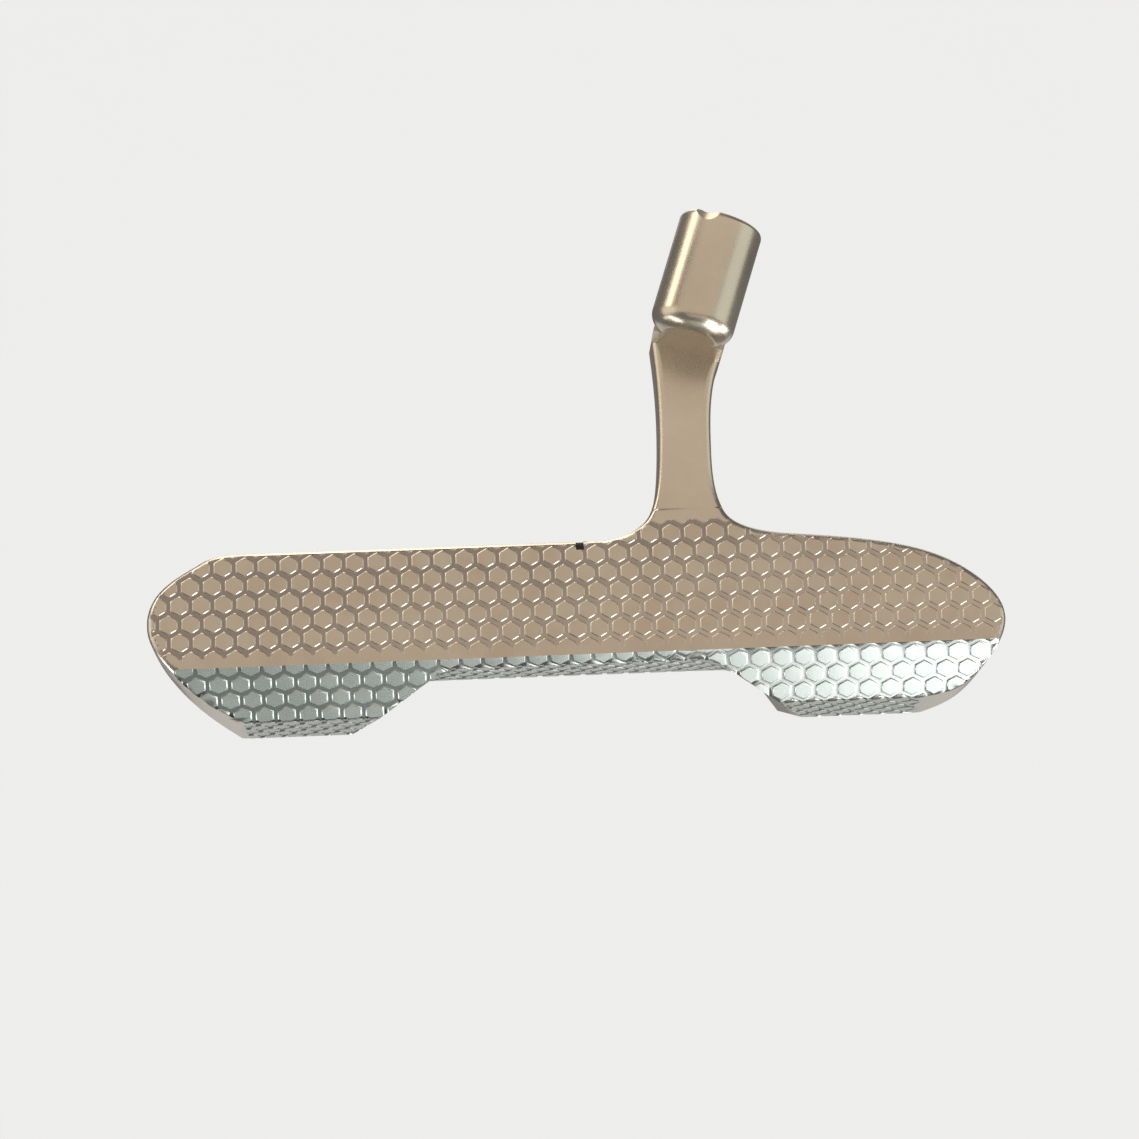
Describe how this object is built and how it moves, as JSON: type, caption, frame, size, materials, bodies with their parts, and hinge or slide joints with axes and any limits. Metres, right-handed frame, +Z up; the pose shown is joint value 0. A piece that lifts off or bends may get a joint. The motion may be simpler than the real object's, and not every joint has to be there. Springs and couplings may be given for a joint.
{
  "type": "mallet putter head",
  "caption": "Mallet putter head: honeycomb-milled steel face body, plumber's neck with shaft bore, open aluminium rear frame and sole weights.",
  "frame": {"origin": "on the ground, at the middle of the head's length and of its depth from the front of the hosel to the rear edge", "axes": "+X along the head from toe to heel, -Y the way the face points, +Z up at address"},
  "size_m": [0.124, 0.0708, 0.0711],
  "materials": {
    "milled_steel": "honeycomb-milled, satin",
    "satin_steel": "satin polished",
    "anodised_aluminium": "fine bead-blasted, anodised",
    "black_paint": "matte paint fill",
    "white_paint": "matte paint fill",
    "weight_steel": "turned",
    "ring_rubber": "matte",
    "screw_steel": "blackened"
  },
  "bodies": {
    "root": {"face_body": "milled_steel", "neck": "satin_steel", "rear_frame": "anodised_aluminium", "topline_sight_mark": "black_paint", "beam_sight_line": "white_paint", "toe_weight": "weight_steel", "heel_weight": "weight_steel", "toe_weight_ring": "ring_rubber", "heel_weight_ring": "ring_rubber", "frame_screws": "screw_steel", "dowel_pins": "screw_steel", "beam_pin": "screw_steel"}
  },
  "joints": []
}
